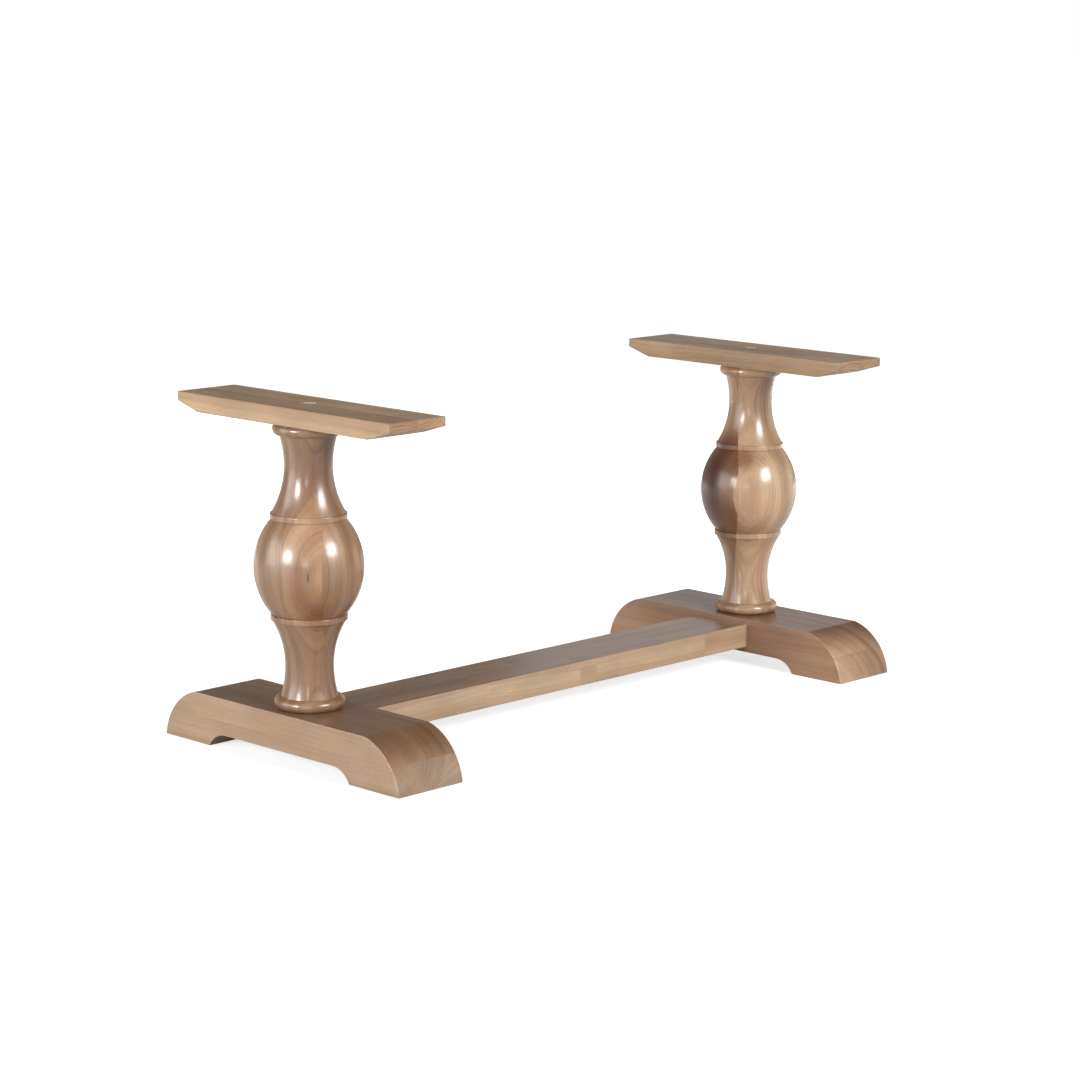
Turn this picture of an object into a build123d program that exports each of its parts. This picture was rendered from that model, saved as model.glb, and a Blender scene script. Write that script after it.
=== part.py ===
from build123d import *
import math
import os

# Table base: two turned columns on arched feet, joined low down by one flat stretcher.
# Millimetres. X runs along the stretcher, Y along the feet and Z up from the floor.

# Layout
pedestal_spacing = 1320.0

# Feet, each cut from one laminated blank
foot_length = 686.0
foot_width = 168.0
foot_height = 102.0
foot_end_run = 95.0
foot_end_radius = 120.0
pad_length = 137.0
arch_height = 28.0
arch_corner_radius = 52.0
foot_edge_round = 1.5

# Turned columns, alike above and below mid-height
column_height = 562.0
bulb_height = 188.0
bulb_radius = 107.5
shoulder_radius = 72.5
collar_height = 11.5
collar_proud = 2.6
collar_round = 1.8
waist_radius = 47.5
waist_drop = 91.0
ring_radius = 69.5
ring_height = 24.0
ring_quirk = 1.5

# Stretcher, butted between the inner faces of the feet
stretcher_width = 146.0
stretcher_thickness = 52.0
stretcher_drop = 10.0
stretcher_edge_round = 1.5

# Cleats that carry the table top
cleat_length = 610.0
cleat_width = 146.0
cleat_thickness = 36.0
cleat_bevel_run = 60.0
cleat_bevel_rise = 18.0
cleat_edge_round = 1.5
top_screw_spacing_x = 96.0
top_screw_spacing_y = 420.0
top_screw_hole_radius = 2.75
top_screw_head_radius = 5.5

# Centre bolts, one into each end of a column
centre_bolt_radius = 5.0
centre_bolt_flats = 17.0
centre_bolt_head_height = 6.4
centre_bolt_shortfall = 4.0
centre_washer_radius = 15.0
centre_washer_thickness = 2.5
insert_radius = 8.0
insert_length = 36.0
foot_counterbore_depth = 25.0
cleat_counterbore_depth = 11.0

# Dowels that stop the joints from turning
dowel_radius = 6.0
column_dowel_offset = 36.0
foot_dowel_length = 46.0
cleat_dowel_length = 36.0
stretcher_dowel_offset = 60.0
stretcher_dowel_length = 44.0

# Hanger bolts that draw the stretcher's ends up to the feet
hanger_bolt_radius = 4.0
hanger_bolt_offset = 34.0
hanger_bolt_grip = 42.0
hanger_bolt_tail = 4.0
pocket_radius = 17.5
pocket_setback = 46.0
pocket_headroom = 11.0
crescent_thickness = 6.0
crescent_height = 16.0
nut_flats = 13.0
nut_thickness = 6.5

# Fits and small edges
bolt_clearance = 0.5
thread_clearance = 0.1
insert_clearance = 0.1
dowel_clearance = 0.1
crescent_clearance = 0.1
counterbore_clearance = 2.0
blind_hole_room = 2.0
tip_chamfer = 1.0

# Places worked out from the sizes above
column_middle = foot_height + column_height / 2
cleat_bottom = foot_height + column_height
base_height = cleat_bottom + cleat_thickness
inner_face = (pedestal_spacing - foot_width) / 2
stretcher_top = foot_height - stretcher_drop
stretcher_middle = stretcher_top - stretcher_thickness / 2
stretcher_bottom = stretcher_top - stretcher_thickness
foot_bolt_seat = arch_height + foot_counterbore_depth
cleat_bolt_seat = base_height - cleat_counterbore_depth
pocket_centre = inner_face - pocket_setback
crescent_radius = pocket_radius - crescent_clearance
nut_seat = pocket_centre + crescent_radius - crescent_thickness
column_dowels = [(0, column_dowel_offset), (0, -column_dowel_offset)]
stretcher_dowels = [(stretcher_dowel_offset, 0), (-stretcher_dowel_offset, 0)]
hanger_bolts = [(hanger_bolt_offset, 0), (-hanger_bolt_offset, 0)]
sides = {"left": -1, "right": 1}


def pedestal_x(side):
    """X of the axis of one pedestal."""
    return sides[side] * pedestal_spacing / 2


def level(side, height, up):
    """Level plane on a pedestal's axis, facing up or down."""
    facing = (0, 0, 1) if up else (0, 0, -1)
    return Plane(origin=(pedestal_x(side), 0, height), x_dir=(1, 0, 0), z_dir=facing)


def joint_plane(side, distance, outward):
    """Upright plane across one end of the stretcher, facing outward or to the middle of the base."""
    facing = (sides[side], 0, 0) if outward else (-sides[side], 0, 0)
    place = (sides[side] * distance, 0, stretcher_middle)
    return Plane(origin=place, x_dir=(0, 1, 0), z_dir=facing)


def make_foot(side):
    """Arched foot: half of its outline, mirrored, then carried across its width and drilled."""
    foot_end = foot_length / 2
    pad_inner = foot_end - pad_length
    arch_end = pad_inner - math.sqrt(2 * arch_corner_radius * arch_height - arch_height**2)
    with BuildPart() as foot:
        with BuildSketch(Plane.YZ.offset(pedestal_x(side))):
            with BuildLine():
                Line((0, arch_height), (arch_end, arch_height))
                RadiusArc((arch_end, arch_height), (pad_inner, 0), arch_corner_radius)
                Line((pad_inner, 0), (foot_end, 0))
                RadiusArc((foot_end, 0), (foot_end - foot_end_run, foot_height), -foot_end_radius)
                Line((foot_end - foot_end_run, foot_height), (0, foot_height))
                mirror(about=Plane.YZ)
            make_face()
        extrude(amount=foot_width / 2, both=True)
        side_edges = foot.faces().filter_by(Axis.X).edges()
        fillet(side_edges.filter_by(lambda edge: edge.center().Z > arch_height), foot_edge_round)
        with Locations(level(side, arch_height, up=False)):
            CounterBoreHole(
                radius=centre_bolt_radius + bolt_clearance,
                counter_bore_radius=centre_washer_radius + counterbore_clearance,
                counter_bore_depth=foot_counterbore_depth,
                depth=foot_height,
            )
        with Locations(level(side, foot_height, up=True)):
            with Locations(*column_dowels):
                Hole(dowel_radius + dowel_clearance, foot_dowel_length / 2 + blind_hole_room)
        with Locations(joint_plane(side, inner_face, outward=False)):
            with Locations(*hanger_bolts):
                Hole(hanger_bolt_radius + thread_clearance, hanger_bolt_grip + blind_hole_room)
            with Locations(*stretcher_dowels):
                Hole(dowel_radius + dowel_clearance, stretcher_dowel_length / 2 + blind_hole_room)
    return foot


def make_column(side):
    """Turned column: the lower half of its profile, mirrored at mid-height, spun and drilled at both ends."""
    turned_end = -column_height / 2
    ring_top = turned_end + ring_height
    ring_inner = ring_radius - ring_height / 2
    neck_radius = ring_inner - ring_quirk
    bulb_end = -bulb_height / 2
    collar_end = bulb_end - collar_height
    collar_radius = shoulder_radius + collar_proud
    waist = (waist_radius, collar_end - waist_drop)
    profile_plane = Plane(origin=(pedestal_x(side), 0, column_middle), x_dir=(1, 0, 0), z_dir=(0, -1, 0))
    with BuildPart() as column:
        with BuildSketch(profile_plane):
            with BuildLine():
                Line((0, turned_end), (ring_inner, turned_end))
                ThreePointArc(
                    (ring_inner, turned_end),
                    (ring_radius, turned_end + ring_height / 2),
                    (ring_inner, ring_top),
                )
                Line((ring_inner, ring_top), (neck_radius, ring_top))
                TangentArc(waist, (neck_radius, ring_top), tangent=(0, -1))
                TangentArc(waist, (shoulder_radius, collar_end), tangent=(0, 1))
                FilletPolyline(
                    (shoulder_radius, collar_end),
                    (collar_radius, collar_end),
                    (collar_radius, bulb_end),
                    (shoulder_radius, bulb_end),
                    radius=collar_round,
                )
                mirror(about=Plane.XZ)
                ThreePointArc((shoulder_radius, bulb_end), (bulb_radius, 0), (shoulder_radius, -bulb_end))
                Line((0, turned_end), (0, -turned_end))
            make_face()
        revolve(axis=Axis((pedestal_x(side), 0, 0), (0, 0, 1)))
        lower_end = level(side, foot_height, up=False)
        upper_end = level(side, cleat_bottom, up=True)
        for end, dowel_length in ((lower_end, foot_dowel_length), (upper_end, cleat_dowel_length)):
            with Locations(end):
                Hole(insert_radius + insert_clearance, insert_length + blind_hole_room)
                with Locations(*column_dowels):
                    Hole(dowel_radius + dowel_clearance, dowel_length / 2 + blind_hole_room)
    return column


def make_cleat(side):
    """Cleat with bevelled ends, sunk for its centre bolt and drilled for the top's screws."""
    cleat_end = cleat_length / 2
    with BuildPart() as cleat:
        with BuildSketch(Plane.YZ.offset(pedestal_x(side))):
            with BuildLine():
                Polyline(
                    (0, cleat_bottom),
                    (cleat_end - cleat_bevel_run, cleat_bottom),
                    (cleat_end, cleat_bottom + cleat_bevel_rise),
                    (cleat_end, base_height),
                    (0, base_height),
                )
                mirror(about=Plane.YZ)
            make_face()
        extrude(amount=cleat_width / 2, both=True)
        side_edges = cleat.faces().filter_by(Axis.X).edges()
        fillet(side_edges.filter_by(lambda edge: edge.center().Z < base_height), cleat_edge_round)
        with Locations(level(side, base_height, up=True)):
            CounterBoreHole(
                radius=centre_bolt_radius + bolt_clearance,
                counter_bore_radius=centre_washer_radius + counterbore_clearance,
                counter_bore_depth=cleat_counterbore_depth,
                depth=cleat_thickness,
            )
        with Locations(level(side, cleat_bottom, up=False)):
            with Locations(*column_dowels):
                Hole(dowel_radius + dowel_clearance, cleat_dowel_length / 2 + blind_hole_room)
            with GridLocations(top_screw_spacing_x, top_screw_spacing_y, 2, 2):
                CounterSinkHole(top_screw_hole_radius, top_screw_head_radius, depth=cleat_thickness)
    return cleat


def make_stretcher():
    """Flat bar, bored at both ends, with round pockets underneath for the nuts."""
    with BuildPart() as stretcher:
        with BuildSketch(Plane.YZ):
            with Locations((0, stretcher_middle)):
                Rectangle(stretcher_width, stretcher_thickness)
        extrude(amount=inner_face, both=True)
        fillet(stretcher.edges().filter_by(Axis.X), stretcher_edge_round)
        for side in sides:
            with Locations(joint_plane(side, inner_face, outward=True)):
                with Locations(*hanger_bolts):
                    Hole(hanger_bolt_radius + bolt_clearance, pocket_setback)
                with Locations(*stretcher_dowels):
                    Hole(dowel_radius + dowel_clearance, stretcher_dowel_length / 2 + blind_hole_room)
        with Locations(Plane(origin=(0, 0, stretcher_bottom), x_dir=(1, 0, 0), z_dir=(0, 0, -1))):
            with GridLocations(2 * pocket_centre, 2 * hanger_bolt_offset, 2, 2):
                Hole(pocket_radius, stretcher_thickness / 2 + pocket_headroom)
    return stretcher


def make_centre_bolt(seat, grip):
    """Hex bolt whose washer bears on the seat, through the grip and on into the insert."""
    with BuildPart() as bolt:
        with BuildSketch(seat.offset(-centre_washer_thickness)):
            RegularPolygon(centre_bolt_flats / 2, 6, major_radius=False)
        extrude(amount=-centre_bolt_head_height)
        with BuildSketch(seat.offset(-centre_washer_thickness)):
            Circle(centre_bolt_radius)
        extrude(amount=centre_washer_thickness + grip + insert_length - centre_bolt_shortfall)
        tip = bolt.faces().sort_by(Axis(seat.origin, seat.z_dir))[-1]
        chamfer(tip.edges(), tip_chamfer)
    return bolt


def make_centre_washer(seat):
    """Plain round washer on the floor of a counterbore."""
    with BuildPart() as washer:
        with BuildSketch(seat):
            Circle(centre_washer_radius)
            Circle(centre_bolt_radius + bolt_clearance, mode=Mode.SUBTRACT)
        extrude(amount=-centre_washer_thickness)
    return washer


def make_insert(column_end):
    """Threaded insert, flush with the end of a column."""
    with BuildPart() as insert:
        with BuildSketch(column_end):
            Circle(insert_radius)
            Circle(centre_bolt_radius + thread_clearance, mode=Mode.SUBTRACT)
        extrude(amount=insert_length)
    return insert


def make_dowels(joint, places, length):
    """Dowels that cross a joint, half in each piece."""
    with BuildPart() as dowels:
        with BuildSketch(joint):
            with Locations(*places):
                Circle(dowel_radius)
        extrude(amount=length / 2, both=True)
        chamfer(dowels.edges().filter_by(GeomType.CIRCLE), tip_chamfer)
    return dowels


def make_hanger_bolts(side):
    """Hanger bolts: one end screwed into the foot, the other through the nuts."""
    with BuildPart() as bolts:
        with BuildSketch(joint_plane(side, nut_seat - nut_thickness - hanger_bolt_tail, outward=True)):
            with Locations(*hanger_bolts):
                Circle(hanger_bolt_radius)
        extrude(amount=inner_face + hanger_bolt_grip - nut_seat + nut_thickness + hanger_bolt_tail)
        chamfer(bolts.edges().filter_by(GeomType.CIRCLE), tip_chamfer)
    return bolts


def make_crescents(side):
    """Half-moon washers, round against the pocket's wall and flat for the nut."""
    flat_middle = sides[side] * (nut_seat + crescent_thickness / 2)
    with BuildPart() as crescents:
        with BuildSketch(Plane.XY.offset(stretcher_middle)):
            with GridLocations(0, 2 * hanger_bolt_offset, 1, 2):
                with Locations((sides[side] * pocket_centre, 0)):
                    Circle(crescent_radius)
            with Locations((flat_middle, 0)):
                Rectangle(crescent_thickness, stretcher_width, mode=Mode.INTERSECT)
        extrude(amount=crescent_height / 2, both=True)
        with BuildSketch(joint_plane(side, nut_seat, outward=True)):
            with Locations(*hanger_bolts):
                Circle(hanger_bolt_radius + bolt_clearance)
        extrude(amount=crescent_thickness, mode=Mode.SUBTRACT)
    return crescents


def make_nuts(side):
    """Hex nuts on the flat of the half-moon washers."""
    with BuildPart() as nuts:
        with BuildSketch(joint_plane(side, nut_seat, outward=True)):
            with Locations(*hanger_bolts):
                RegularPolygon(nut_flats / 2, 6, major_radius=False)
                Circle(hanger_bolt_radius + thread_clearance, mode=Mode.SUBTRACT)
        extrude(amount=-nut_thickness)
    return nuts


def save(piece, name):
    """Labels a finished piece and writes its file."""
    piece.part.label = name
    export_step(piece.part, f"parts/{name}.step")


os.makedirs("parts", exist_ok=True)
save(make_stretcher(), "stretcher")
for side in sides:
    foot_seat = level(side, foot_bolt_seat, up=True)
    foot_joint = level(side, foot_height, up=True)
    cleat_seat = level(side, cleat_bolt_seat, up=False)
    cleat_joint = level(side, cleat_bottom, up=False)
    stretcher_joint = joint_plane(side, inner_face, outward=True)
    save(make_foot(side), f"{side}_foot")
    save(make_column(side), f"{side}_column")
    save(make_cleat(side), f"{side}_cleat")
    save(make_centre_bolt(foot_seat, foot_height - foot_bolt_seat), f"{side}_foot_bolt")
    save(make_centre_washer(foot_seat), f"{side}_foot_washer")
    save(make_insert(foot_joint), f"{side}_foot_insert")
    save(make_dowels(foot_joint, column_dowels, foot_dowel_length), f"{side}_foot_dowels")
    save(make_centre_bolt(cleat_seat, cleat_bolt_seat - cleat_bottom), f"{side}_cleat_bolt")
    save(make_centre_washer(cleat_seat), f"{side}_cleat_washer")
    save(make_insert(cleat_joint), f"{side}_cleat_insert")
    save(make_dowels(cleat_joint, column_dowels, cleat_dowel_length), f"{side}_cleat_dowels")
    save(make_hanger_bolts(side), f"{side}_stretcher_bolts")
    save(make_crescents(side), f"{side}_stretcher_washers")
    save(make_nuts(side), f"{side}_stretcher_nuts")
    save(make_dowels(stretcher_joint, stretcher_dowels, stretcher_dowel_length), f"{side}_stretcher_dowels")
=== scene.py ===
# %% [markdown]
# # Looks for a turned table base
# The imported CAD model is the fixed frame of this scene. It already has every piece at its real size, so
# this lesson gives those pieces their finish: stained and lacquered wood, bare beech, zinc plate and brass.
# It also adds what the CAD model leaves plain: the threads, and the cone-trimmed corners of bolt heads and
# nuts.

# %% Load the frame
import math
import bpy
import numpy as np
from mathutils import Matrix, Vector


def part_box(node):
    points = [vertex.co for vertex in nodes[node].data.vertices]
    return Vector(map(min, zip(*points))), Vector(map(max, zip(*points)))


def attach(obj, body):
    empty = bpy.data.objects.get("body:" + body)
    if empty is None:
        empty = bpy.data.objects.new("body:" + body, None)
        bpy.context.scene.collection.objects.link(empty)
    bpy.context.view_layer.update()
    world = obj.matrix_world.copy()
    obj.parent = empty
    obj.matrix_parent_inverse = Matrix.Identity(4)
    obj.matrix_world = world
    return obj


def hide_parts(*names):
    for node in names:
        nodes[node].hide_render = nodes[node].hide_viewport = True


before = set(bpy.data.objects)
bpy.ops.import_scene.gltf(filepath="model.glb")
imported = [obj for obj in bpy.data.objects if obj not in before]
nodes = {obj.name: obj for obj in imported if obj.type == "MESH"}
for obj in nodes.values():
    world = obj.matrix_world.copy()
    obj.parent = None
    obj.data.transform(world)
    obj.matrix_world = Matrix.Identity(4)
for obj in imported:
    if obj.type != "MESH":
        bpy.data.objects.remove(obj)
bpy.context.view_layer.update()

# %% [markdown]
# ## Camera
# The camera stands off the near left corner, a little above the base, and looks slightly down. Its place,
# its three angles and its lens were solved from the edges in the photograph, so the picture has the same
# perspective. A long lens keeps the two pedestals nearly the same size.

# %% Camera
camera_place = Vector((-4.3727, -4.2094, 1.4869))
camera_yaw, camera_pitch, camera_roll = 0.8026, -0.1855, 0.0084
forward = Vector((math.sin(camera_yaw) * math.cos(camera_pitch),
                  math.cos(camera_yaw) * math.cos(camera_pitch),
                  math.sin(camera_pitch)))
right = Vector((math.cos(camera_yaw), -math.sin(camera_yaw), 0.0))
up = right.cross(forward)
turn_right = right * math.cos(camera_roll) + up * math.sin(camera_roll)
turn_up = up * math.cos(camera_roll) - right * math.sin(camera_roll)

camera = bpy.data.objects.new("camera", bpy.data.cameras.new("camera"))
camera.data.sensor_width = 36.0
camera.data.lens = 98.03
axes = Matrix((turn_right, turn_up, -forward)).transposed()
camera.matrix_world = Matrix.Translation(camera_place) @ axes.to_4x4()
bpy.context.scene.collection.objects.link(camera)
bpy.context.scene.camera = camera
print("camera", [round(x, 2) for x in camera_place], "lens", camera.data.lens)

# %% [markdown]
# ## A short way to wire nodes
# Every finish below is a graph of nodes. Written out in full, each node needs one line to make it, one for
# each option and one for each link. The first helper does all three: an input takes either a number or the
# output of another node. The rest are short names for the sums that come up again and again.

# %% Nodes, groups and materials
def put(tree, kind, inputs=None, **options):
    """Adds a node, sets its options, and feeds its inputs from values or from other nodes' outputs."""
    node = tree.nodes.new(kind)
    for name, value in options.items():
        setattr(node, name, value)
    for key, value in (inputs or {}).items():
        if isinstance(value, bpy.types.NodeSocket):
            tree.links.new(value, node.inputs[key])
        else:
            node.inputs[key].default_value = value
    return node


def new_group(name, inputs, outputs):
    """An empty node group with named sockets. Returns its tree, its inputs and its output node."""
    tree = bpy.data.node_groups.new(name, "ShaderNodeTree")
    for direction, sockets in (("INPUT", inputs), ("OUTPUT", outputs)):
        for socket, kind in sockets.items():
            tree.interface.new_socket(socket, in_out=direction, socket_type="NodeSocket" + kind)
    return tree, tree.nodes.new("NodeGroupInput").outputs, tree.nodes.new("NodeGroupOutput").inputs


def use_group(tree, group, inputs):
    """Places a node group in a material with that material's own values, and returns its outputs."""
    return put(tree, "ShaderNodeGroup", inputs, node_tree=group).outputs


def new_material(name):
    """A material with an empty graph. Returns both."""
    material = bpy.data.materials.new(name)
    material.use_nodes = True
    material.node_tree.nodes.clear()
    return material, material.node_tree


def surface(tree, inputs):
    """Ends a material's graph in one shader."""
    shader = put(tree, "ShaderNodeBsdfPrincipled", inputs)
    put(tree, "ShaderNodeOutputMaterial", {"Surface": shader.outputs[0]})


print("node helpers ready")


# %% Sums
def maths(tree, operation, a, b=0.0, c=0.0):
    """One number worked out from up to three others."""
    return put(tree, "ShaderNodeMath", {0: a, 1: b, 2: c}, operation=operation).outputs[0]


def product(tree, first, *others):
    """Numbers multiplied together."""
    for other in others:
        first = maths(tree, "MULTIPLY", first, other)
    return first


def less(tree, value, share):
    """One less a share of a value."""
    return maths(tree, "MULTIPLY_ADD", value, -share, 1.0)


def step(tree, value, low, high, first=0.0, last=1.0):
    """A smooth step: first below low, last above high, and an S-curve between."""
    limits = {"Value": value, "From Min": low, "From Max": high, "To Min": first, "To Max": last}
    return put(tree, "ShaderNodeMapRange", limits, interpolation_type="SMOOTHSTEP").outputs[0]


def vectors(tree, operation, a, b=(0, 0, 0)):
    """One vector worked out from two others, part by part."""
    return put(tree, "ShaderNodeVectorMath", {0: a, 1: b}, operation=operation).outputs[0]


def scaled(tree, vector, by):
    """A vector or colour times a number."""
    return put(tree, "ShaderNodeVectorMath", {0: vector, "Scale": by}, operation="SCALE").outputs[0]


def distance(tree, vector):
    """How long a vector is."""
    return put(tree, "ShaderNodeVectorMath", {0: vector}, operation="LENGTH").outputs["Value"]


def split(tree, vector):
    """The three parts of a vector."""
    return put(tree, "ShaderNodeSeparateXYZ", {0: vector}).outputs


def turned(tree, vector, turn, centre=(0, 0, 0)):
    """A vector as read in axes that stand at a centre and are turned by three angles in degrees."""
    angles = [math.radians(degrees) for degrees in turn]
    reading = {"Vector": vector, "Location": centre, "Rotation": angles}
    return put(tree, "ShaderNodeMapping", reading, vector_type="TEXTURE").outputs[0]


def colours(tree, factor, a, b):
    """Two colours mixed by a factor."""
    return put(tree, "ShaderNodeMix", {0: factor, 6: a, 7: b}, data_type="RGBA").outputs[2]


print("sums ready")


# %% Noise and relief
def cloud(tree, place, scale, detail=2.0):
    """Smooth noise about 0.5. Its scale has one number for each axis, and a small one draws it out."""
    drawn = vectors(tree, "MULTIPLY", place, scale)
    return put(tree, "ShaderNodeTexNoise", {"Vector": drawn, "Scale": 1.0, "Detail": detail}).outputs


def line_noise(tree, value, scale, detail):
    """Smooth noise about 0.5 along a single number."""
    along = {"W": value, "Scale": scale, "Detail": detail}
    return put(tree, "ShaderNodeTexNoise", along, noise_dimensions="1D").outputs[0]


def bump(tree, height, strength, depth):
    """A normal that is tilted by a fine relief."""
    relief = {"Height": height, "Strength": strength, "Distance": depth}
    return put(tree, "ShaderNodeBump", relief).outputs[0]


print("noise ready")

# %% [markdown]
# ## Studio
# The base stands on plain white paper. Two soft boxes make the pair of highlights on each bulb, one at the
# end of the base and one along its near side. They are low, because the highlights sit only a little above
# the middles of the bulbs. Two weak panels behind and on the right put a sheen on the level faces, and four
# fills lighten what the boxes leave in shade. Two of the fills aren't mirrored, so they add no highlight.
#
# The paper is mid-grey paint for the lamps, and the camera also sees extra brightness on it. So the
# background comes out white while the paper still shows the shadow of the base. The lacquer mirrors only a
# small share of that extra white, from paper and room alike, or the wood would look hazy.

# %% Floor
white = (1, 1, 1, 1)
paper_grey = (0.55, 0.55, 0.55, 1)


def disc(radius, rings, spokes):
    """A flat disc as a polar grid: x = r cos a, y = r sin a, with r growing faster outwards."""
    r = radius * np.linspace(0.0, 1.0, rings + 1)[1:] ** 2
    a = np.linspace(0.0, 2 * np.pi, spokes, endpoint=False)
    level = np.zeros((rings, spokes))
    grid = np.stack([np.outer(r, np.cos(a)), np.outer(r, np.sin(a)), level], axis=-1)
    points = np.vstack([grid.reshape(-1, 3), [[0.0, 0.0, 0.0]]])
    near = np.arange((rings - 1) * spokes).reshape(rings - 1, spokes)
    turn = np.roll(near, -1, axis=1)
    quads = np.stack([near, near + spokes, turn + spokes, turn], axis=-1).reshape(-1, 4)
    first = np.arange(spokes)
    middle = np.stack([np.full(spokes, rings * spokes), first, np.roll(first, -1)], axis=-1)
    return points, quads.tolist() + middle.tolist()


def mesh_piece(name, points, faces):
    """A new object whose place is in its mesh."""
    mesh = bpy.data.meshes.new(name)
    mesh.from_pydata(points, [], faces)
    mesh.update()
    piece = bpy.data.objects.new(name, mesh)
    bpy.context.scene.collection.objects.link(piece)
    return piece


def seen(tree, mirrored):
    """1 for what the camera sees, straight or through something clear, and a share for what is mirrored."""
    path = put(tree, "ShaderNodeLightPath").outputs
    straight = maths(tree, "MAXIMUM", path["Is Camera Ray"], path["Is Transmission Ray"])
    return maths(tree, "MULTIPLY_ADD", path["Is Glossy Ray"], mirrored, straight)


paper, tree = new_material("studio_paper")
paint = put(tree, "ShaderNodeBsdfDiffuse", {"Color": paper_grey}).outputs[0]
away = distance(tree, put(tree, "ShaderNodeTexCoord").outputs["Object"])
glow = maths(tree, "MULTIPLY", seen(tree, 0.2), step(tree, away, 0.9, 1.9, 0.70, 1.0))
glow = put(tree, "ShaderNodeEmission", {"Color": white, "Strength": glow}).outputs[0]
both = put(tree, "ShaderNodeAddShader", {0: paint, 1: glow}).outputs[0]
put(tree, "ShaderNodeOutputMaterial", {"Surface": both})

floor = mesh_piece("floor", *disc(30.0, 24, 96))
floor.data.materials.append(paper)
print("floor faces:", len(floor.data.polygons))

# %% World
world = bpy.data.worlds.new("studio")
bpy.context.scene.world = world
world.use_nodes = True
tree = world.node_tree
tree.nodes.clear()
height = split(tree, put(tree, "ShaderNodeTexCoord").outputs["Generated"])[2]
level = step(tree, height, 0.0, 0.6, 0.18, 0.05)
mirrored = step(tree, height, 0.0, 0.4, 0.10, 0.02)
room = put(tree, "ShaderNodeBackground", {"Color": white, "Strength": level}).outputs[0]
backdrop = put(tree, "ShaderNodeBackground", {"Color": white, "Strength": 1.0}).outputs[0]
mixed = put(tree, "ShaderNodeMixShader", {0: seen(tree, mirrored), 1: room, 2: backdrop}).outputs[0]
put(tree, "ShaderNodeOutputWorld", {"Surface": mixed})
print("world: brighter at the horizon than overhead")


# %% Soft boxes
def soft_box(name, place, target, size, power, mirrored=True):
    """A wide, slightly cool lamp that faces a point. One that isn't mirrored adds no highlight."""
    lamp = bpy.data.lights.new(name, "AREA")
    lamp.shape = "RECTANGLE"
    lamp.size = size
    lamp.size_y = 0.85 * size
    lamp.energy = power
    lamp.color = (0.96, 0.985, 1.0)
    holder = bpy.data.objects.new(name, lamp)
    aim = (Vector(target) - Vector(place)).to_track_quat("-Z", "Y").to_matrix().to_4x4()
    holder.matrix_world = Matrix.Translation(place) @ aim
    holder.visible_camera = False
    holder.visible_glossy = mirrored
    bpy.context.scene.collection.objects.link(holder)


soft_box("box_at_the_end", (-5.20, -0.14, 1.65), (-0.5, 0.0, 0.35), 1.4, 188.0)
soft_box("box_along_the_side", (0.32, -4.40, 2.45), (0.1, 0.0, 0.35), 1.8, 228.0)
soft_box("panel_at_the_far_corner", (2.79, 2.00, 0.80), (0.3, 0.0, 0.20), 1.2, 1.5)
soft_box("panel_on_the_right", (3.40, -1.20, 0.55), (0.3, 0.0, 0.35), 1.2, 5.0)
soft_box("fill_in_front", (-4.90, -3.60, 1.15), (0.0, 0.0, 0.35), 0.9, 26.0)
soft_box("fill_behind_the_end", (-3.90, 2.20, 1.30), (0.0, 0.0, 0.35), 2.6, 70.0)
soft_box("fill_far_end", (4.20, 0.40, 0.80), (0.3, 0.0, 0.35), 1.4, 85.0, mirrored=False)
soft_box("fill_far_side", (0.40, 4.20, 0.80), (0.2, 0.0, 0.35), 1.4, 85.0, mirrored=False)

# %% [markdown]
# ## Boards glued into blanks
# A leg this thick is never one piece of tree. Boards are glued side by side and in layers, and long stock
# is joined end to end with interlocking fingers. A shader can do the same to space: it divides the position
# in the piece by the size of a board, and the whole part of the result numbers the board. Each number draws
# three random values, its lot, which later give every board its own place in the tree and its own tone.
# The group also tells odd boards from even ones, so that neighbours can come from different trees.

# %% Group: glued boards
half = (0.5, 0.5, 0.5)
finger_depth = 0.0032
glue_width = 0.0008

boards, given, out = new_group(
    "glued_boards",
    {"Position": "Vector", "Board": "Vector", "Joint": "Vector", "Fingers": "Float", "Stagger": "Float",
     "Seed": "Float"},
    {"Lot": "Vector", "Odd": "Float", "Glue": "Float"},
)
moved = vectors(boards, "SUBTRACT", given["Position"], given["Joint"])
cells = vectors(boards, "DIVIDE", moved, given["Board"])
row = split(boards, vectors(boards, "FLOOR", cells))
zigzag = maths(boards, "PINGPONG", split(boards, moved)[1], finger_depth)
zigzag = maths(boards, "MULTIPLY", zigzag, given["Fingers"])
along = maths(boards, "DIVIDE", zigzag, split(boards, given["Board"])[2])
along = maths(boards, "MULTIPLY_ADD", row[0], given["Stagger"], along)
cells = vectors(boards, "ADD", cells, put(boards, "ShaderNodeCombineXYZ", {2: along}).outputs[0])

number = {"Vector": vectors(boards, "FLOOR", cells), "W": given["Seed"]}
draw = put(boards, "ShaderNodeTexWhiteNoise", number, noise_dimensions="4D").outputs["Color"]
odd = maths(boards, "FLOORED_MODULO", maths(boards, "ADD", row[0], row[1]), 2.0)
centred = vectors(boards, "SUBTRACT", vectors(boards, "FRACTION", cells), half)
inside = vectors(boards, "SUBTRACT", half, vectors(boards, "ABSOLUTE", centred))
inside = split(boards, vectors(boards, "MULTIPLY", inside, given["Board"]))
nearest = maths(boards, "MINIMUM", maths(boards, "MINIMUM", inside[0], inside[1]), inside[2])
boards.links.new(draw, out["Lot"])
boards.links.new(odd, out["Odd"])
boards.links.new(step(boards, nearest, 0.0, glue_width, 1.0, 0.0), out["Glue"])
print("group", boards.name, "nodes:", len(boards.nodes))

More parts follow.
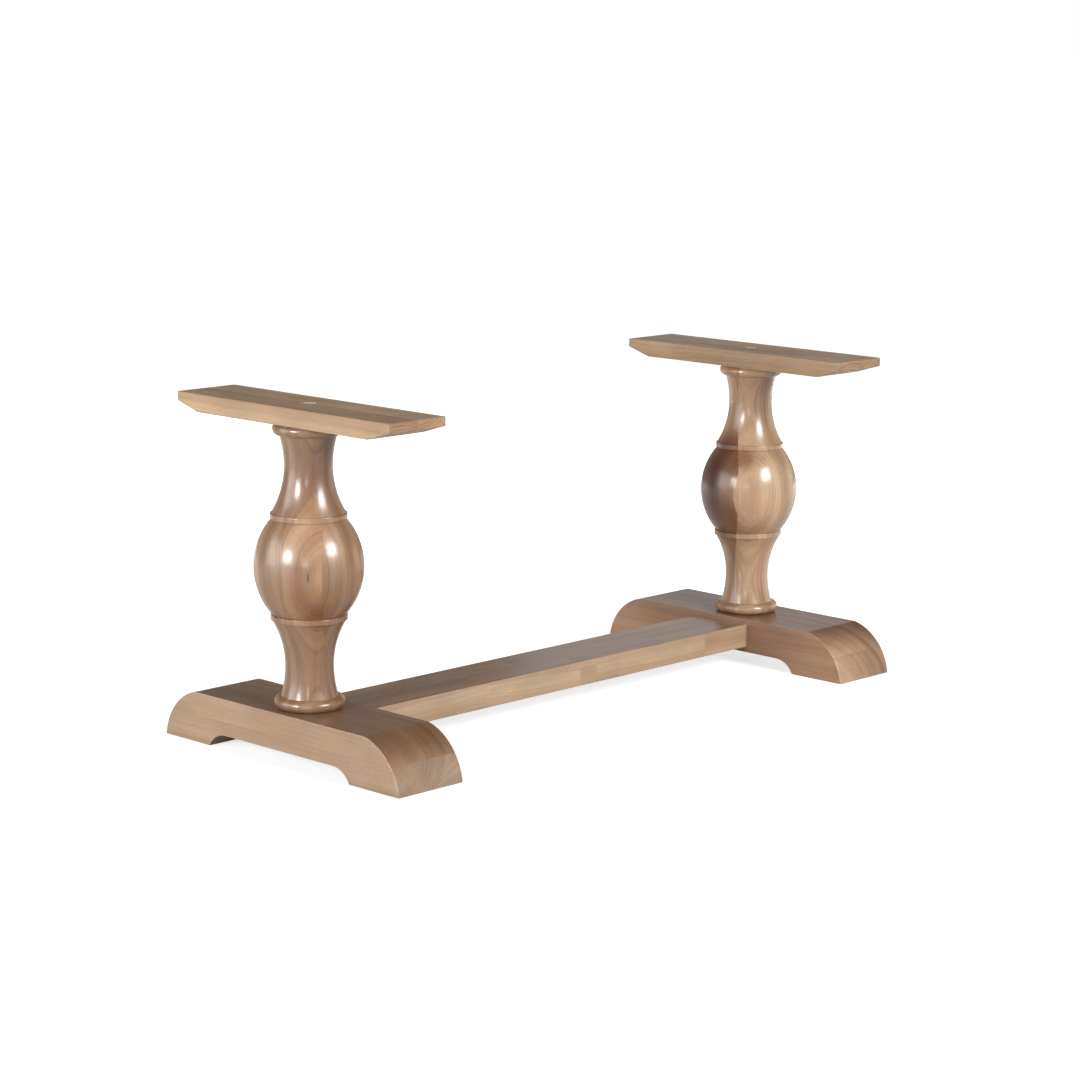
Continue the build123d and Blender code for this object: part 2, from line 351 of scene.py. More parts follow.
# %% [markdown]
# ## Growth rings
# A tree grows a layer each year, round a centre line called the pith. Wood is those layers, so the honest
# way to draw its figure is to work out how far a point is from the pith and to darken the end of each year.
# No picture is wrapped on the surface: where a flat face cuts the layers they show as stripes, where an end
# cuts them they show as arcs, and where the bulb bulges through them they show as ovals. The pith leans and
# the layers wave, and that makes the arched figure on long faces.
#
# Even and odd boards have a pith each, at an x and a y in the piece's own axes. Its third number is the
# radius of a plain core: the first years are pale, and the lines begin beyond them.

# %% Group: growth rings
rings, given, out = new_group(
    "growth_rings",
    {"Position": "Vector", "Lot": "Vector", "Odd": "Float", "Pith": "Vector", "Other": "Vector",
     "Spread": "Float", "Wave": "Float", "Year": "Float"},
    {"Late": "Float", "Slow": "Float", "Radius": "Float", "Outer": "Float"},
)
# Each board has its own draw of the sway, so the layers of two boards never run on across the glue.
lot = split(rings, vectors(rings, "SUBTRACT", given["Lot"], half))
shift = vectors(rings, "MULTIPLY", given["Lot"], (7.3, 5.1, 9.7))
apart = vectors(rings, "ADD", given["Position"], shift)
sway = vectors(rings, "SUBTRACT", cloud(rings, apart, (7.0, 7.0, 2.4), 1.5)["Color"], half)
place = split(rings, vectors(rings, "ADD", given["Position"], scaled(rings, sway, given["Wave"])))

piths = {0: given["Odd"], 4: given["Pith"], 5: given["Other"]}
pith = split(rings, put(rings, "ShaderNodeMix", piths, data_type="VECTOR").outputs[1])
lean = maths(rings, "MULTIPLY", lot[1], given["Spread"])
across = maths(rings, "MULTIPLY_ADD", lot[0], given["Spread"], pith[0])
across = maths(rings, "MULTIPLY_ADD", place[2], lean, across)
across = maths(rings, "SUBTRACT", place[0], across)
deep = maths(rings, "MULTIPLY_ADD", lot[2], given["Spread"], pith[1])
deep = maths(rings, "SUBTRACT", place[1], deep)
radius = distance(rings, put(rings, "ShaderNodeCombineXYZ", {0: across, 1: deep}).outputs[0])

# Some years are fat and some thin, some end dark and some pale, and each line fades here and there.
years = maths(rings, "DIVIDE", radius, given["Year"])
years = maths(rings, "MULTIPLY_ADD", line_noise(rings, years, 0.45, 1.0), 2.2, years)
season = maths(rings, "FRACT", years)
late = maths(rings, "SUBTRACT", step(rings, season, 0.15, 0.90), step(rings, season, 0.90, 1.0))
number = {"W": maths(rings, "FLOOR", years)}
dark = put(rings, "ShaderNodeTexWhiteNoise", number, noise_dimensions="1D").outputs["Value"]
dark = maths(rings, "MULTIPLY_ADD", maths(rings, "POWER", dark, 2.0), 0.8, 0.2)
faded = step(rings, cloud(rings, apart, (24.0, 24.0, 11.0))[0], 0.32, 0.62, 0.35, 1.15)
beyond = maths(rings, "SUBTRACT", radius, pith[2])
dark = product(rings, dark, faded, step(rings, beyond, -0.006, 0.005, 0.08, 1.0))
rings.links.new(maths(rings, "MULTIPLY", late, dark), out["Late"])
rings.links.new(line_noise(rings, years, 0.30, 1.5), out["Slow"])
rings.links.new(radius, out["Radius"])
rings.links.new(step(rings, beyond, -0.002, 0.009), out["Outer"])
print("group", rings.name, "nodes:", len(rings.nodes))

# %% [markdown]
# ## Fibres, pores and stain
# Close up, the wood is a bundle of fibres along the grain, with open pores that show as short dark dashes
# where stain has gathered. Both are noise drawn out along the grain. The stain itself takes unevenly, which
# leaves soft clouds a hand's width across.

# %% Group: fibres and pores
fibres, given, out = new_group(
    "fibres_and_pores",
    {"Position": "Vector", "Lot": "Vector"},
    {"Streak": "Float", "Pore": "Float", "Cloud": "Float"},
)
shift = vectors(fibres, "MULTIPLY", given["Lot"], (3.1, 4.3, 2.9))
apart = vectors(fibres, "ADD", given["Position"], shift)
coarse = cloud(fibres, apart, (160.0, 160.0, 5.0), 3.0)[0]
fine = maths(fibres, "MULTIPLY", cloud(fibres, apart, (700.0, 700.0, 22.0))[0], 0.4)
dash = step(fibres, cloud(fibres, apart, (900.0, 900.0, 70.0), 1.0)[0], 0.60, 0.74)
fleck = step(fibres, cloud(fibres, apart, (620.0, 620.0, 240.0), 1.0)[0], 0.59, 0.72, 0.0, 0.8)
fibres.links.new(maths(fibres, "MULTIPLY_ADD", coarse, 0.6, fine), out["Streak"])
fibres.links.new(maths(fibres, "MAXIMUM", dash, fleck), out["Pore"])
fibres.links.new(cloud(fibres, apart, (13.0, 13.0, 6.0))[0], out["Cloud"])
print("group", fibres.name, "nodes:", len(fibres.nodes))

# %% [markdown]
# ## Stained and lacquered wood
# The finish is a mid-brown stain under a satin lacquer. The colour is built up in order: the slow change
# over many years, the dark end of each year, the board's own tone, streaks, clouds, pores, and the glue
# between boards. Then comes the tint of the stain, which differs from board to board and has soft patches.
# Some patches are the wood's own tone, and on the columns most are painted light and shade: a painted
# sheen and rim light, a top lighter and a bottom darker as if lit from above, and painted shade on a dark
# side.
#
# Stain goes in deeper or less deep where the face lies differently to the grain, and the normal tells which
# face a point is on. A sawn end soaks it up, or shows the pale wood rays that fan out from the pith. On the
# right foot the end is made paler and cooler instead, a painted light. A broad face, top and bottom alike,
# is
# darker than a narrow one: painted shade, with a little deeper stain. An edge that was eased with sandpaper
# is paler: on a flat-sided piece only the eased edges face neither along the boards' width nor square to it.
#
# The lacquer is the coat of the shader, a clear layer with its own sharper gloss. The satin is the shine of
# the wood under it.

# %% Tones and looks
pale_wood, dark_wood = (0.56, 0.380, 0.220, 1), (0.36, 0.200, 0.105, 1)
late_wood, dull_wood = (0.200, 0.090, 0.040, 1), (0.42, 0.285, 0.190, 1)
ray_wood, sanded_wood, knot_wood = (0.43, 0.32, 0.25, 1), (0.60, 0.43, 0.29, 1), (0.07, 0.030, 0.018, 1)
broad_stain_and_shade = (0.39, 0.29, 0.18)

plain_looks = {
    "figure": 0.45,  # how dark the end of each year is
    "bands": 1.0,  # how far the tone changes over many years
    "outer": 1.0,  # tone beyond the plain core
    "tone": (1, 1, 1),  # tint of the even boards
    "other_tone": None,  # tint of the odd boards, where it differs
    "heart": 0.0,  # radius within which an odd board has the tint of the even ones
    "patches": (),  # soft patches in the even boards, of tone and of painted light and shade: middle, reach and change of tint
    "other_patches": (),  # the same in the odd boards
    "knots": (),  # dark knots: middle and size
    "eased": 0.0,  # how pale the eased edges of a flat-sided piece are
    "ends": (0.0, 0.0),  # how far a sawn end takes the end colour, where it rounds over to the top and where it is upright
    "soak": (0.46, 0.27, 0.16),  # what soaking does to the colour of a sawn end; above 1 it paints light, making the end paler
    "broad": 0.0,  # how far the broad faces, top and bottom, are darker: painted shade with a little deeper stain
    "rays": None,  # middle of the fan of rays on the ends of odd boards
    "coat": 1.0,  # weight of the lacquer
    "satin": 0.12,  # shine of the wood under it
}
print("looks of wood that can be set:", len(plain_looks))


# %% Figure and tint
def figured(tree, blank, layers, grain, lines, looks):
    """Colour of the bare figure, from the years, the board's lot, the fibres and the glue."""
    swing = 0.5 * looks["bands"]
    lot = split(tree, blank["Lot"])
    slow = step(tree, layers["Slow"], 0.3, 0.7, 0.5 - swing, 0.5 + swing)
    colour = colours(tree, slow, pale_wood, dark_wood)
    colour = colours(tree, maths(tree, "MULTIPLY", layers["Late"], lines), colour, late_wood)
    colour = colours(tree, maths(tree, "MULTIPLY", lot[2], 0.15), colour, dull_wood)
    shade = product(
        tree,
        step(tree, lot[1], 0.0, 1.0, 0.97, 1.03),
        less(tree, layers["Outer"], 1.0 - looks["outer"]),
        step(tree, grain["Streak"], 0.25, 0.75, 0.91, 1.09),
        step(tree, grain["Cloud"], 0.25, 0.75, 0.90, 1.10),
        less(tree, grain["Pore"], 0.20),
        less(tree, blank["Glue"], 0.12),
    )
    return scaled(tree, colour, shade)


def gap(tree, place, middle, reach):
    """Distance from a spot, with its reach along each axis counted as 1."""
    return distance(tree, vectors(tree, "DIVIDE", vectors(tree, "SUBTRACT", place, middle), reach))


def patched(tree, place, tone, patches):
    """A tint that is paler or darker in soft round patches: the wood's own tone, and painted light and
    shade.
    """
    tint = put(tree, "ShaderNodeCombineXYZ", dict(enumerate(tone))).outputs[0]
    for middle, reach, change in patches:
        share = step(tree, gap(tree, place, middle, reach), 0.3, 1.0, 1.0, 0.0)
        tint = colours(tree, share, tint, vectors(tree, "MULTIPLY", tint, change))
    return tint


def tinted(tree, colour, own, blank, layers, looks):
    """The colour times the tint of the board, whose patches also paint light and shade."""
    heart = looks["heart"]
    other = maths(tree, "MULTIPLY", blank["Odd"], step(tree, layers["Radius"], heart - 0.001, heart + 0.001))
    even_tint = patched(tree, own, looks["tone"], looks["patches"])
    odd_tint = patched(tree, own, looks["other_tone"] or looks["tone"], looks["other_patches"])
    return vectors(tree, "MULTIPLY", colour, colours(tree, other, even_tint, odd_tint))


print("figure and tint ready")


# %% Faces, rays and knots
def soaked(tree, colour, facing, sawn_end, odd, looks):
    """Stain that sawn ends take up; an end colour above 1 paints light instead. Broad faces get painted
    shade with a little deeper stain. Here y is the direction through the boards.
    """
    round_over, upright = looks["ends"]
    depth = step(tree, facing[1], 0.2, 0.85, upright, round_over)
    end = product(tree, sawn_end, less(tree, odd, 0.25), depth)
    # Soaking darkens the end; an end colour above 1, as on the right foot, paints light on it instead.
    colour = colours(tree, end, colour, vectors(tree, "MULTIPLY", colour, looks["soak"]))
    # Painted shade: the broad faces, the tops and bottoms, are darkened, with a little deeper stain.
    broad = step(tree, facing[1], 0.50, 0.97, 0.0, looks["broad"])
    return colours(tree, broad, colour, vectors(tree, "MULTIPLY", colour, broad_stain_and_shade))


def fanned(tree, colour, own, odd_end, stain, looks):
    """Pale wood rays: noise over the angle round the middle of the fan, kept to one side of it."""
    fan = split(tree, vectors(tree, "SUBTRACT", own, looks["rays"]))
    beam = line_noise(tree, maths(tree, "ARCTAN2", fan[1], fan[0]), 11.0, 2.0)
    beam = product(
        tree,
        step(tree, beam, 0.40, 0.66, 0.0, 0.42),
        odd_end,
        step(tree, fan[0], -0.012, 0.010, 0.15, 1.0),
        step(tree, stain, 0.35, 0.60, 0.35, 1.0),
    )
    return colours(tree, beam, colour, ray_wood)


def sanded(tree, colour, across, looks):
    """Paler stain on the edges, where the surface turns from one face to the next."""
    edge = maths(tree, "SUBTRACT", step(tree, across, 0.08, 0.45), step(tree, across, 0.80, 0.99))
    return colours(tree, maths(tree, "MULTIPLY", edge, looks["eased"]), colour, sanded_wood)


def knotted(tree, colour, own, looks):
    """Small dark knots."""
    for middle, size in looks["knots"]:
        share = step(tree, gap(tree, own, middle, size), 0.55, 1.1, 0.85, 0.0)
        colour = colours(tree, share, colour, knot_wood)
    return colour


print("faces ready")


# %% Stained wood
end_lines = 0.45


def stained_wood(name, centre, turn, blank, growth, **looks):
    """Stained wood for one piece. In its own axes x runs across the boards, y through them and z along the
    grain. The blank and the growth are inputs for the groups of boards and rings."""
    looks = {**plain_looks, **looks}
    material, tree = new_material(name)
    source = put(tree, "ShaderNodeTexCoord").outputs
    own = turned(tree, source["Object"], turn, centre)
    facing = split(tree, vectors(tree, "ABSOLUTE", turned(tree, source["Normal"], turn)))
    sawn_end = step(tree, facing[2], 0.15, 0.85)
    blank = use_group(tree, boards, {"Position": own, **blank})
    board = {"Position": own, "Lot": blank["Lot"]}
    layers = use_group(tree, rings, {**board, "Odd": blank["Odd"], **growth})
    grain = use_group(tree, fibres, board)

    lines = maths(tree, "MULTIPLY_ADD", sawn_end, end_lines if looks["ends"][0] else 0.0, looks["figure"])
    if looks["rays"]:
        odd_end = maths(tree, "MULTIPLY", sawn_end, blank["Odd"])
        lines = maths(tree, "MULTIPLY", lines, less(tree, odd_end, 0.8))
    colour = figured(tree, blank, layers, grain, lines, looks)
    colour = tinted(tree, colour, own, blank, layers, looks)
    if looks["eased"]:
        colour = soaked(tree, colour, facing, sawn_end, blank["Odd"], looks)
        if looks["rays"]:
            colour = fanned(tree, colour, own, odd_end, grain["Cloud"], looks)
        colour = sanded(tree, colour, facing[0], looks)
    colour = knotted(tree, colour, own, looks)

    relief = maths(tree, "MULTIPLY_ADD", grain["Pore"], -0.6, grain["Streak"])
    surface(tree, {
        "Base Color": colour,
        "Roughness": step(tree, grain["Streak"], 0.25, 0.75, 0.50, 0.40),
        "Normal": bump(tree, relief, 0.13, 0.0006),
        "Specular IOR Level": looks["satin"],
        "Coat Weight": looks["coat"],
        "Coat Roughness": 0.23,
        "Coat IOR": 1.5,
    })
    return material


def dress(name, material):
    """Gives a CAD node its finish and leaves its mesh alone."""
    nodes[name].data.materials.clear()
    nodes[name].data.materials.append(material)


print("stained wood ready")

# %% [markdown]
# ## Wooden pieces
# Each piece gets its own blank. The left column is three boards across, glued along planes that run with
# the view, and a flat-sawn board in the middle puts an oval and a small knot on the bulb. Its patches paint
# light: the upper half lighter and the lower half darker as if lit from above, a painted sheen round the
# highlights, and a pale painted rim light on the left. The right column is two boards, a dark one and a pale
# one, and the pale heart laps over the glue. Its dark board is darker still on its left and at the top and
# bottom of the bulb, painted shade together with the board's own dark wood, and its pale board has a painted
# sheen on the right. The feet are two layers, the stretcher is finger-jointed stock in two strips, and each
# cleat is two strips. A board longer, wider or thicker than its piece simply never ends in it.

# %% Columns
pedestal = 0.66
column_middle = 0.383
view_turn = -math.degrees(camera_yaw)

dress("left_column", stained_wood(
    "left_column_wood", (-pedestal, 0, column_middle), (0, 0, view_turn),
    {"Board": (0.076, 0.5, 4.0), "Joint": (-0.043, -0.25, -2.0), "Seed": 3.0},
    {"Pith": (0.066, -0.165, 0.080), "Other": (0.006, -0.118, 0.030), "Spread": 0.006, "Wave": 0.042,
     "Year": 0.007},
    figure=0.42, outer=0.78, satin=0.32, tone=(0.67, 0.565, 0.51),
    knots=[((0.0060, -0.1071, -0.0033), (0.0020, 0.03, 0.0110))],
    # Painted light in the patches: the upper half lighter and the lower half darker and redder as if lit
    # from above, a whitish painted sheen between the highlights, partly a pale band of the wood, and a pale
    # painted rim light on the left.
    patches=[((0.0, -0.05, 0.035), (0.30, 0.30, 0.12), (1.18, 1.20, 1.22)),
             ((0.008, -0.09, 0.062), (0.062, 0.12, 0.060), (1.45, 1.60, 1.75)),
             ((0.0, -0.05, -0.060), (0.30, 0.30, 0.070), (1.02, 0.94, 0.82))],
    other_patches=[((0.0, -0.05, 0.035), (0.30, 0.30, 0.12), (1.12, 1.14, 1.16)),
                   ((0.050, -0.07, 0.055), (0.050, 0.12, 0.070), (1.28, 1.34, 1.38)),
                   ((-0.115, -0.03, 0.0), (0.045, 0.10, 0.09), (1.15, 1.15, 1.15)),
                   ((0.0, -0.05, -0.060), (0.30, 0.30, 0.070), (1.04, 0.96, 0.82)),
                   ((0.105, -0.03, 0.0), (0.060, 0.10, 0.12), (1.05, 0.96, 0.80))]))
dress("right_column", stained_wood(
    "right_column_wood", (pedestal, 0, column_middle), (0, 0, view_turn),
    {"Board": (0.150, 0.5, 4.0), "Joint": (-0.030, -0.25, -2.0), "Seed": 5.0},
    {"Pith": (-0.008, -0.147, 0.0525), "Other": (-0.018, -0.155, 0.031), "Spread": 0.004, "Wave": 0.024,
     "Year": 0.008},
    figure=0.60, bands=0.7, outer=0.86, satin=0.35, tone=(1.03, 0.98, 0.97), other_tone=(0.84, 0.72, 0.66),
    heart=0.0600,
    knots=[((-0.059, -0.0786, 0.0505), (0.0014, 0.02, 0.003)),
           ((-0.0833, -0.0621, 0.0317), (0.0014, 0.02, 0.002))],
    # Painted light and shade in the patches: the pale board is darker at its top by the glue, partly painted
    # shade, and has a painted sheen on its right, partly paler sapwood; the dark board is darker still at
    # the top, middle and bottom of the bulb and on its left rim, painted shade together with the board's own
    # dark wood.
    patches=[((-0.018, -0.085, 0.080), (0.034, 0.08, 0.035), (0.62, 0.52, 0.48)),
             ((0.065, -0.07, 0.0), (0.065, 0.12, 0.12), (1.18, 1.24, 1.30)),
             ((0.0, -0.03, -0.17), (0.12, 0.15, 0.10), (1.25, 1.28, 1.30))],
    other_patches=[((-0.06, -0.07, 0.080), (0.30, 0.16, 0.080), (0.52, 0.38, 0.31)),
                   ((-0.06, -0.07, -0.065), (0.30, 0.16, 0.075), (0.64, 0.52, 0.45)),
                   ((-0.06, -0.07, 0.0), (0.30, 0.16, 0.060), (0.82, 0.76, 0.70)),
                   ((-0.115, -0.05, 0.0), (0.085, 0.12, 0.20), (0.42, 0.32, 0.25))]))
print("columns dressed")

# %% Feet
along_y = (-90, 0, 0)
two_layers = {"Board": (0.4, 0.055, 4.0), "Joint": (-0.2, 0.0, -2.0)}
shared_pith = (-0.125, 0.033, 0.120)
right_foot_patches = [((0.07, -0.05, -0.34), (0.09, 0.12, 0.25), (0.82, 0.78, 0.76))]

dress("left_foot", stained_wood(
    "left_foot_wood", (-pedestal, 0, 0), along_y, {**two_layers, "Seed": 2.0},
    {"Pith": (-0.130, -0.070, 0.145), "Other": (-0.120, -0.150, 0.138), "Spread": 0.01, "Wave": 0.022,
     "Year": 0.0078},
    figure=0.38, bands=0.3, tone=(0.74, 0.74, 0.79), other_tone=(0.76, 0.78, 0.86), eased=0.2,
    # broad paints shade on the top, with a little deeper stain.
    ends=(0.42, 0.10), broad=0.74, rays=(-0.042, 0.014, 0.0), coat=0.75,
    other_patches=[((-0.084, -0.02, -0.343), (0.030, 0.06, 0.02), (1.0, 1.08, 1.24)),
                   ((0.045, -0.03, -0.343), (0.060, 0.05, 0.03), (1.0, 1.06, 1.14))]))
dress("right_foot", stained_wood(
    "right_foot_wood", (pedestal, 0, 0), along_y, {**two_layers, "Seed": 4.0},
    {"Pith": shared_pith, "Other": shared_pith, "Spread": 0.01, "Wave": 0.016, "Year": 0.008},
    figure=0.38, bands=0.5, outer=0.84, tone=(0.70, 0.62, 0.62), eased=0.2, ends=(1.0, 1.0),
    # Painted light: the end colour above 1 makes the end paler and cooler. broad paints shade on the top,
    # with a little deeper stain.
    soak=(1.62, 1.84, 2.02), broad=0.46, coat=0.75, patches=right_foot_patches,
    other_patches=right_foot_patches))
print("feet dressed")

# %% Stretcher and cleats
along_x = (90, 0, 90)
stock_length = 0.28
stock_stagger = 0.43
first_finger_joint = -0.243 - stock_length * stock_stagger

dress("stretcher", stained_wood(
    "stretcher_wood", (0, 0, 0.066), along_x,
    {"Board": (0.073, 0.2, stock_length), "Joint": (0.0, -0.1, first_finger_joint), "Fingers": 1.5,
     "Stagger": stock_stagger, "Seed": 6.0},
    {"Pith": (0.00, 0.07, 0.02), "Other": (0.04, -0.08, 0.02), "Spread": 0.06, "Wave": 0.03, "Year": 0.007},
    # broad paints shade on the top, with a little deeper stain.
    figure=0.3, bands=0.5, tone=(1.16, 1.20, 1.28), eased=0.25, broad=0.85))
for side, x in (("left", -pedestal), ("right", pedestal)):
    dress(side + "_cleat", stained_wood(
        side + "_cleat_wood", (x, 0, 0.682), along_y,
        {"Board": (0.073, 0.2, 4.0), "Joint": (0.0, -0.1, -2.0), "Seed": 8.0 + x},
        {"Pith": (0.02, -0.09, 0.02), "Other": (-0.03, 0.08, 0.02), "Spread": 0.05, "Wave": 0.03,
         "Year": 0.008},
        bands=0.6, tone=(0.95, 0.98, 1.02), eased=0.25, ends=(0.3, 0.3), coat=0.15))
print("stretcher and cleats dressed")

# %% [markdown]
# ## Beech dowels
# The dowels are bare beech: pale, fine, and covered with the short brown flecks that beech is known by. The
# same fibres serve again, with other colours. A dowel's grain runs along it, so the ones that lie down have
# their coordinates turned first.

# %% Beech dowels
def bare_beech(name, turn):
    """Beech whose grain runs along z once the position is turned."""
    material, tree = new_material(name)
    own = turned(tree, put(tree, "ShaderNodeTexCoord").outputs["Object"], turn)
    grain = use_group(tree, fibres, {"Position": own, "Lot": (0.3, 0.6, 0.2)})
    colour = colours(tree, grain["Streak"], (0.68, 0.50, 0.31, 1), (0.55, 0.39, 0.23, 1))
    colour = colours(tree, maths(tree, "MULTIPLY", grain["Pore"], 0.6), colour, (0.33, 0.20, 0.11, 1))
    surface(tree, {
        "Base Color": colour,
        "Roughness": step(tree, grain["Streak"], 0.3, 0.7, 0.75, 0.62),
        "Normal": bump(tree, grain["Streak"], 0.2, 0.0004),
    })
    return material


upright_beech = bare_beech("upright_beech", (0, 0, 0))
lying_beech = bare_beech("lying_beech", along_x)
for side in ("left", "right"):
    dress(side + "_foot_dowels", upright_beech)
    dress(side + "_cleat_dowels", upright_beech)
    dress(side + "_stretcher_dowels", lying_beech)
print("dowels dressed")

# %% [markdown]
# ## Metals
# The bolts, nuts and washers are zinc plated, a soft grey with faint blue and straw clouds and a tumbled,
# uneven gloss. The inserts are brass that was turned on a lathe, so fine rings run round them. Both are
# full metals: the tint sits in the base colour, and the gloss changes from place to place.

# %% Zinc and brass
def metal(name, first, second, grain, smooth, rough):
    """A metal with two tints in soft clouds, and fine marks that are drawn out where grain is small."""
    material, tree = new_material(name)
    place = put(tree, "ShaderNodeTexCoord").outputs["Object"]
    share = step(tree, cloud(tree, place, (260.0, 260.0, 260.0))[0], 0.35, 0.65)
    marks = cloud(tree, place, grain)[0]
    surface(tree, {
        "Base Color": colours(tree, share, first, second),
        "Roughness": step(tree, marks, 0.3, 0.7, smooth, rough),
        "Normal": bump(tree, marks, 0.05, 0.0002),
        "Metallic": 1.0,
    })
    return material


tumbled, lathe_turned = (900.0, 900.0, 900.0), (60.0, 60.0, 4000.0)
zinc = metal("zinc_plate", (0.60, 0.62, 0.65, 1), (0.68, 0.66, 0.60, 1), tumbled, 0.26, 0.42)
brass = metal("turned_brass", (0.74, 0.55, 0.26, 1), (0.66, 0.47, 0.20, 1), lathe_turned, 0.24, 0.38)
for side in ("left", "right"):
    for piece in ("foot_washer", "cleat_washer", "stretcher_washers"):
        dress(side + "_" + piece, zinc)
    for piece in ("foot_insert", "cleat_insert"):
        dress(side + "_" + piece, brass)
print("washers and inserts dressed")

# %% [markdown]
# ## Bolts and nuts
# The CAD model has plain rods and plain hexagons. A real thread is a ridge that climbs by one pitch a turn,
# and a real hexagon has its corners turned off by a cone. Both can be written as one number, the distance
# from the axis, as a function of the angle round it and the place along it. A modifier such as Screw could
# also make a thread, but then the shank, the head and the tip would be separate shells. As one function the
# whole bolt is one closed skin.

# %% Round bars
spokes = 36
angle = np.linspace(0.0, 2 * np.pi, spokes, endpoint=False)
cone_slope = 1.732


def bar(start, axis, along, radius, ring=False):
    """A skin round an axis: start + along * axis + radius * (u cos a + v sin a), for each row and each
    angle a. The ends are closed by fans, or the last row joins the first to make a ring."""
    axis = np.asarray(axis, float)
    u = np.array([0.0, 1.0, 0.0])
    v = np.cross(axis, u)
    spread = np.outer(np.cos(angle), u) + np.outer(np.sin(angle), v)
    skin = np.asarray(start, float) + along[:, None, None] * axis + radius[:, :, None] * spread
    points = skin.reshape(-1, 3)
    rows = np.arange(len(points)).reshape(len(along), spokes)
    here = rows if ring else rows[:-1]
    there = np.roll(rows, -1, axis=0) if ring else rows[1:]
    quads = np.stack([here, np.roll(here, -1, 1), np.roll(there, -1, 1), there], axis=-1)
    faces = [quads.reshape(-1, 4)]
    if not ring:
        low, high = np.full(spokes, len(points)), np.full(spokes, len(points) + 1)
        faces.append(np.stack([low, np.roll(rows[0], -1), rows[0]], axis=-1))
        faces.append(np.stack([high, rows[-1], np.roll(rows[-1], -1)], axis=-1))
        points = np.vstack([points, skin[0].mean(axis=0), skin[-1].mean(axis=0)])
    return points, faces


def hexagon(flats, corner_on_u):
    """Distance from the axis to a hexagon's side: half the flats over the cosine of the angle from the
    middle of that side."""
    shift = 0.0 if corner_on_u else np.pi / 6
    return flats / 2 / np.cos((angle + shift) % (np.pi / 3) - np.pi / 6)


def thread(along, crest, depth, pitch):
    """A ridge that climbs one pitch a turn: the crest less the depth, shared out by a clipped triangle
    wave."""
    turn = along[:, None] / pitch - angle[None, :] / (2 * np.pi)
    valley = 1.0 - np.abs(2.0 * (turn % 1.0) - 1.0)
    return crest - depth * np.clip(1.35 * valley - 0.15, 0.0, 1.0)


def round_rows(radius, count=1):
    """Rows of a bar that are plainly round."""
    return np.full((count, spokes), radius)


print("bar helpers ready")


# %% Hardware pieces
def hardware(name, shells):
    """Joins skins into one zinc-plated piece that stands for the CAD node of the same name."""
    points = np.vstack([shell_points for shell_points, _ in shells])
    faces, start = [], 0
    for shell_points, shell_faces in shells:
        for block in shell_faces:
            faces += (block + start).tolist()
        start += len(shell_points)
    piece = mesh_piece(name + "_detail", points, faces)
    piece.data.shade_smooth()
    piece.data.set_sharp_from_angle(angle=math.radians(32))
    piece.data.materials.append(zinc)
    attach(piece, "root")
    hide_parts(name)
    print(piece.name, "faces:", len(piece.data.polygons))


def corners(node):
    """The low and the high corner of a CAD node's box."""
    return (np.array(corner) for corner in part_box(node))


print("hardware helpers ready")


# %% Centre bolts
def centre_bolt(node, up):
    """Hex bolt along z, head first: cone-trimmed hexagon, plain shank, then thread with a bevelled tip."""
    head_height, flats, shank, thread_length = 0.0064, 0.017, 0.005, 0.042
    depth, pitch = 0.0009, 0.0015
    low, high = corners(node)
    middle = (low + high) / 2
    length = high[2] - low[2]
    corner_on_u = bool(high[1] - low[1] > high[0] - low[0])

    head = np.concatenate([np.linspace(0.0, 0.0011, 7), [head_height, head_height]])
    trimmed = np.minimum(hexagon(flats, corner_on_u)[None, :], 0.0081 + cone_slope * head[:, None])
    trimmed[-1] = shank
    screwed = np.arange(length - thread_length, length - 0.0001, 0.00025)
    bevel = 0.0041 + (length - screwed)[:, None] * 0.8
    run_in = shank - np.clip(screwed - screwed[0], 0, 0.003)[:, None] * 0.4
    ridge = np.maximum(np.minimum(thread(screwed, shank, depth, pitch), bevel), run_in)

    along = np.concatenate([head, screwed, [length]])
    radius = np.vstack([trimmed, ridge, round_rows(0.0040)])
    start = (middle[0], middle[1], low[2] if up else high[2])
    hardware(node, [bar(start, (0, 0, 1 if up else -1), along, radius)])


for side in ("left", "right"):
    centre_bolt(side + "_foot_bolt", up=True)
    centre_bolt(side + "_cleat_bolt", up=False)

# %% [markdown]
# ## Hanger bolts
# A hanger bolt has two threads. The fine one takes the nut in the stretcher's pocket, and the coarse one,
# which ends in a point, was driven into the foot. The nuts are rings: their skin goes up the outside, over
# the end, down the bore and back.

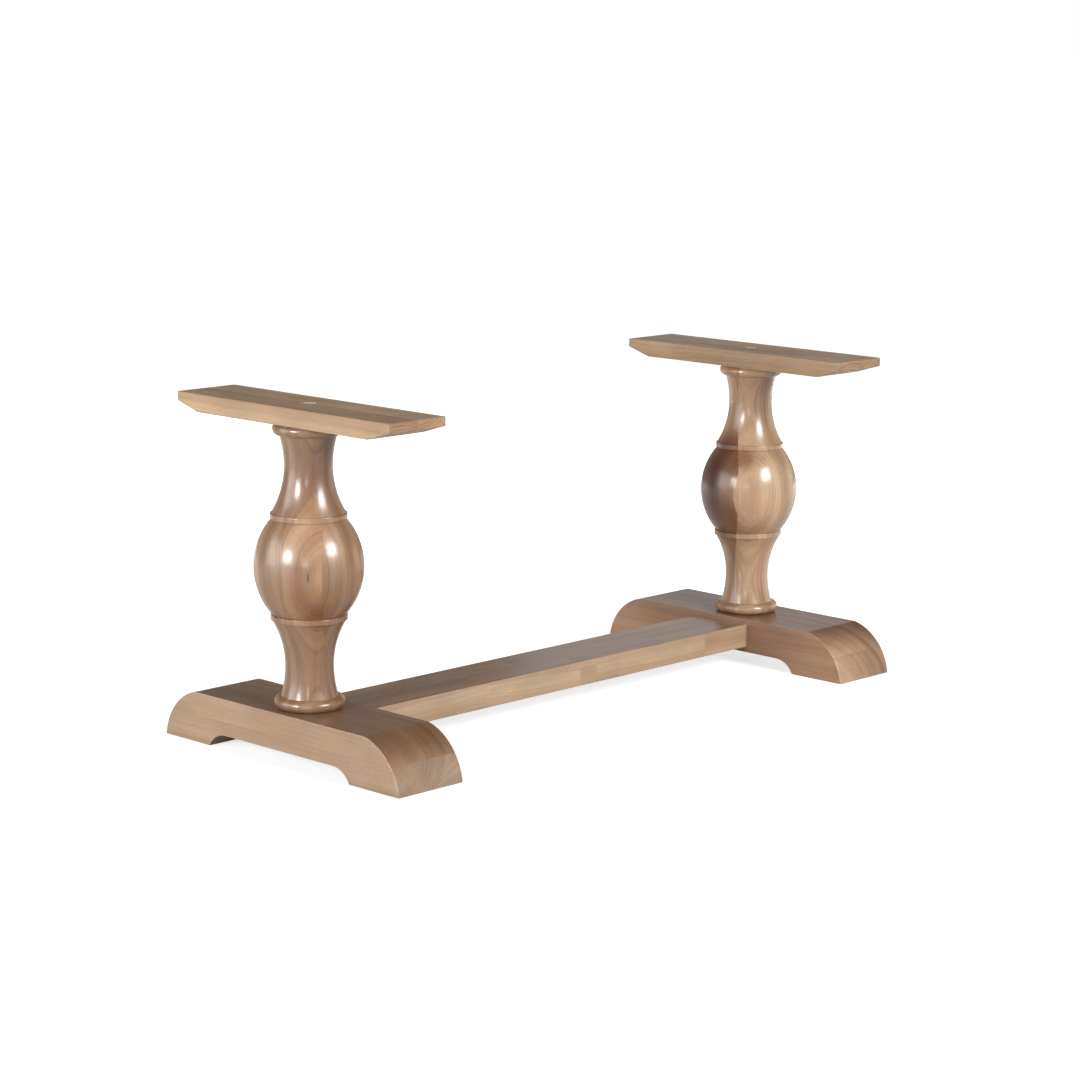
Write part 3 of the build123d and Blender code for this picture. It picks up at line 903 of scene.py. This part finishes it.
# %% Hanger bolts and nuts
pair_offset = 0.034
pair = (-pair_offset, pair_offset)


def hanger_bolts(node, outward):
    """Two rods along x: fine thread, plain middle, then a coarse thread whose last part narrows to a
    point."""
    rod, core, point = 0.004, 0.0036, 0.0005
    low, high = corners(node)
    length = high[0] - low[0]

    fine = np.arange(0.0, 0.034, 0.00021)
    fine_ridge = np.minimum(thread(fine, rod, 0.0008, 0.00125), 0.0033 + fine[:, None])
    coarse = np.arange(0.042, length - 0.0001, 0.0004)
    taper = np.clip((length - coarse) / 0.009, 0.0, 1.0)[:, None]
    coarse_ridge = point + (thread(coarse, rod, 0.0012, 0.0032) - point) * taper

    along = np.concatenate([fine, [0.0345, 0.0415], coarse, [length]])
    radius = np.vstack([fine_ridge, round_rows(core, 2), coarse_ridge, round_rows(0.0003)])
    start = low[0] if outward > 0 else high[0]
    height = (low[2] + high[2]) / 2
    hardware(node, [bar((start, y, height), (outward, 0, 0), along, radius) for y in pair])


def nuts(node):
    """Two hex nuts along x, with both ends trimmed by a cone and the bore's mouths countersunk."""
    flats, trimmed_radius, sink = 0.013, 0.006175, 0.0005
    bore, mouth = round_rows(0.0041), round_rows(0.0046)
    low, high = corners(node)
    length = high[0] - low[0]
    corner_on_u = bool((high[1] - low[1]) - 2 * pair_offset > high[2] - low[2])

    trim = np.linspace(0.0, 0.0008, 5)
    along = np.concatenate([[sink, 0.0], trim, length - trim[::-1], [length, length - sink]])
    cone = trimmed_radius + cone_slope * np.minimum(along, length - along)[2:-2]
    outside = np.minimum(hexagon(flats, corner_on_u)[None, :], cone[:, None])
    radius = np.vstack([bore, mouth, outside, mouth, bore])
    height = (low[2] + high[2]) / 2
    hardware(node, [bar((low[0], y, height), (1, 0, 0), along, radius, ring=True) for y in pair])


for side, outward in (("left", -1), ("right", 1)):
    hanger_bolts(side + "_stretcher_bolts", outward)
    nuts(side + "_stretcher_nuts")

# %% [markdown]
# ## Finish
# The picture's colours are shown as rendered, through the Standard view transform.

# %% Finish
bpy.context.scene.view_settings.view_transform = "Standard"
